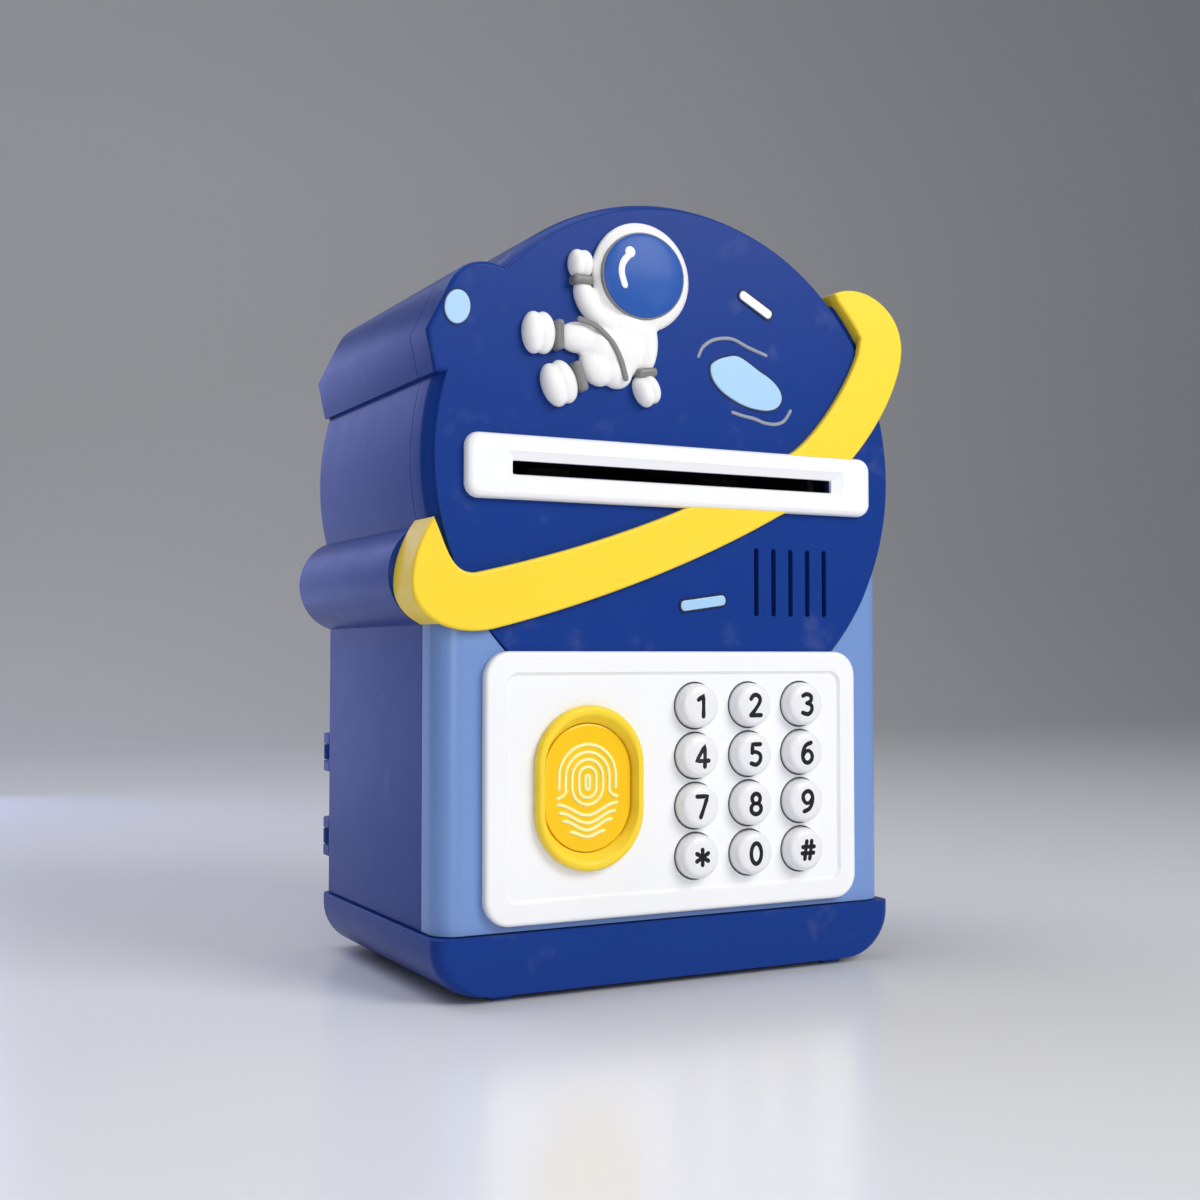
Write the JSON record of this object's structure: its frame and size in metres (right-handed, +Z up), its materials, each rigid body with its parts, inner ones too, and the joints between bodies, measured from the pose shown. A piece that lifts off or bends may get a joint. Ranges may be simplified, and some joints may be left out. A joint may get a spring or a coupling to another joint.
{
  "type": "toy atm savings bank",
  "caption": "Toy savings bank shaped like a cash machine, with keypad, fingerprint button, motorised note slot, planet-shaped head and lockable rear door.",
  "frame": {"origin": "bottom centre of the whole bank, where its feet stand", "axes": "+Z up, +X to the right of the front, +Y from the front towards the rear door"},
  "size_m": [0.146, 0.099, 0.2],
  "materials": {
    "dark_blue_plastic": "smooth moulded ABS with a soft gloss",
    "light_blue_plastic": "smooth moulded ABS with a soft gloss",
    "white_plastic": "smooth moulded ABS",
    "key_plastic": "smooth moulded keys with printed numbers",
    "yellow_plastic": "smooth moulded ABS",
    "deep_yellow_plastic": "smooth moulded ABS",
    "figure_white": "smooth moulded relief",
    "visor_blue": "high gloss",
    "print_ink": "printed ink",
    "graphic_blue": "inlaid light blue shapes",
    "steel": "zinc plated",
    "rubber": "matt",
    "black_plastic": "matt",
    "cream_plastic": "matt moulded",
    "board_green": "solder mask",
    "silicone": "soft matt",
    "cell_sleeve": "printed foil sleeve",
    "brass": "plated spring brass"
  },
  "bodies": {
    "housing": {"rear_shell": "dark_blue_plastic", "front_shell": "dark_blue_plastic", "lower_fascia": "light_blue_plastic", "base_tray": "dark_blue_plastic", "ring_trim": "yellow_plastic", "note_bezel": "white_plastic", "keypad_panel": "white_plastic", "fingerprint_bezel": "yellow_plastic", "key_membrane": "silicone", "control_board": "board_green", "speaker": "black_plastic", "astronaut_figure": "figure_white", "astronaut_visor": "visor_blue", "hinge_pin_lower": "steel", "hinge_pin_upper": "steel", "latch_solenoid": "steel", "latch_spring": "steel", "feed_chassis": "black_plastic", "feed_motor": "steel", "battery_cover": "dark_blue_plastic", "battery_screw": "steel", "battery_cell_1": "cell_sleeve", "battery_cell_2": "cell_sleeve", "battery_cell_3": "cell_sleeve", "battery_contacts_left": "brass", "battery_contacts_right": "brass", "cash_partition": "cream_plastic", "case_screw_1": "steel", "case_screw_2": "steel", "case_screw_3": "steel", "case_screw_4": "steel"},
    "rear_door": {"rear_door": "dark_blue_plastic"},
    "latch_plunger": {"latch_plunger": "steel"},
    "feed_roller": {"drive_shaft": "steel", "feed_gear": "cream_plastic", "drive_roller_left": "rubber", "drive_roller_right": "rubber"},
    "motor_pinion": {"motor_pinion": "cream_plastic"},
    "pinch_roller": {"pinch_shaft": "steel", "pinch_roller_left": "rubber", "pinch_roller_right": "rubber"},
    "fingerprint_pad": {"fingerprint_pad": "deep_yellow_plastic"},
    "code_set_button": {"code_set_button": "black_plastic"},
    "key_1": {"key_1": "key_plastic"},
    "key_2": {"key_2": "key_plastic"},
    "key_3": {"key_3": "key_plastic"},
    "key_4": {"key_4": "key_plastic"},
    "key_5": {"key_5": "key_plastic"},
    "key_6": {"key_6": "key_plastic"},
    "key_7": {"key_7": "key_plastic"},
    "key_8": {"key_8": "key_plastic"},
    "key_9": {"key_9": "key_plastic"},
    "key_star": {"key_star": "key_plastic"},
    "key_0": {"key_0": "key_plastic"},
    "key_hash": {"key_hash": "key_plastic"}
  },
  "joints": [
    {"name": "key_1_press", "type": "slide", "parent": "housing", "child": "key_1", "axis": [0, 1, 0], "range_m": [0, 0.0012], "stiffness_N_per_m": 400, "springref_m": -0.0004},
    {"name": "key_2_press", "type": "slide", "parent": "housing", "child": "key_2", "axis": [0, 1, 0], "range_m": [0, 0.0012], "stiffness_N_per_m": 400, "springref_m": -0.0004},
    {"name": "key_3_press", "type": "slide", "parent": "housing", "child": "key_3", "axis": [0, 1, 0], "range_m": [0, 0.0012], "stiffness_N_per_m": 400, "springref_m": -0.0004},
    {"name": "key_4_press", "type": "slide", "parent": "housing", "child": "key_4", "axis": [0, 1, 0], "range_m": [0, 0.0012], "stiffness_N_per_m": 400, "springref_m": -0.0004},
    {"name": "key_5_press", "type": "slide", "parent": "housing", "child": "key_5", "axis": [0, 1, 0], "range_m": [0, 0.0012], "stiffness_N_per_m": 400, "springref_m": -0.0004},
    {"name": "key_6_press", "type": "slide", "parent": "housing", "child": "key_6", "axis": [0, 1, 0], "range_m": [0, 0.0012], "stiffness_N_per_m": 400, "springref_m": -0.0004},
    {"name": "key_7_press", "type": "slide", "parent": "housing", "child": "key_7", "axis": [0, 1, 0], "range_m": [0, 0.0012], "stiffness_N_per_m": 400, "springref_m": -0.0004},
    {"name": "key_8_press", "type": "slide", "parent": "housing", "child": "key_8", "axis": [0, 1, 0], "range_m": [0, 0.0012], "stiffness_N_per_m": 400, "springref_m": -0.0004},
    {"name": "key_9_press", "type": "slide", "parent": "housing", "child": "key_9", "axis": [0, 1, 0], "range_m": [0, 0.0012], "stiffness_N_per_m": 400, "springref_m": -0.0004},
    {"name": "key_star_press", "type": "slide", "parent": "housing", "child": "key_star", "axis": [0, 1, 0], "range_m": [0, 0.0012], "stiffness_N_per_m": 400, "springref_m": -0.0004},
    {"name": "key_0_press", "type": "slide", "parent": "housing", "child": "key_0", "axis": [0, 1, 0], "range_m": [0, 0.0012], "stiffness_N_per_m": 400, "springref_m": -0.0004},
    {"name": "key_hash_press", "type": "slide", "parent": "housing", "child": "key_hash", "axis": [0, 1, 0], "range_m": [0, 0.0012], "stiffness_N_per_m": 400, "springref_m": -0.0004},
    {"name": "fingerprint_press", "type": "slide", "parent": "housing", "child": "fingerprint_pad", "axis": [0, 1, 0], "range_m": [0, 0.0015], "stiffness_N_per_m": 500, "springref_m": -0.0004},
    {"name": "door_swing", "type": "hinge", "parent": "housing", "child": "rear_door", "pos_m": [-0.0606, 0.0463, 0.0435], "axis": [0, 0, 1], "range_deg": [0, 110]},
    {"name": "latch_throw", "type": "slide", "parent": "housing", "child": "latch_plunger", "axis": [0, 0, -1], "range_m": [0, 0.005], "deforming": ["latch_spring"]},
    {"name": "feed_roller_spin", "type": "hinge", "parent": "housing", "child": "feed_roller", "pos_m": [0, -0.021, 0.1223], "axis": [1, 0, 0], "continuous": true},
    {"name": "motor_spin", "type": "hinge", "parent": "housing", "child": "motor_pinion", "pos_m": [0, -0.021, 0.1063], "axis": [1, 0, 0], "continuous": true},
    {"name": "pinch_roller_spin", "type": "hinge", "parent": "housing", "child": "pinch_roller", "pos_m": [0, -0.021, 0.1327], "axis": [1, 0, 0], "continuous": true},
    {"name": "code_set_press", "type": "slide", "parent": "housing", "child": "code_set_button", "axis": [0, -1, 0], "range_m": [0, 0.0012], "stiffness_N_per_m": 400, "springref_m": -0.0004}
  ],
  "couplings": [
    {"joint": "motor_spin", "follows": "feed_roller_spin", "ratio": -3},
    {"joint": "pinch_roller_spin", "follows": "feed_roller_spin", "ratio": -1.5}
  ]
}
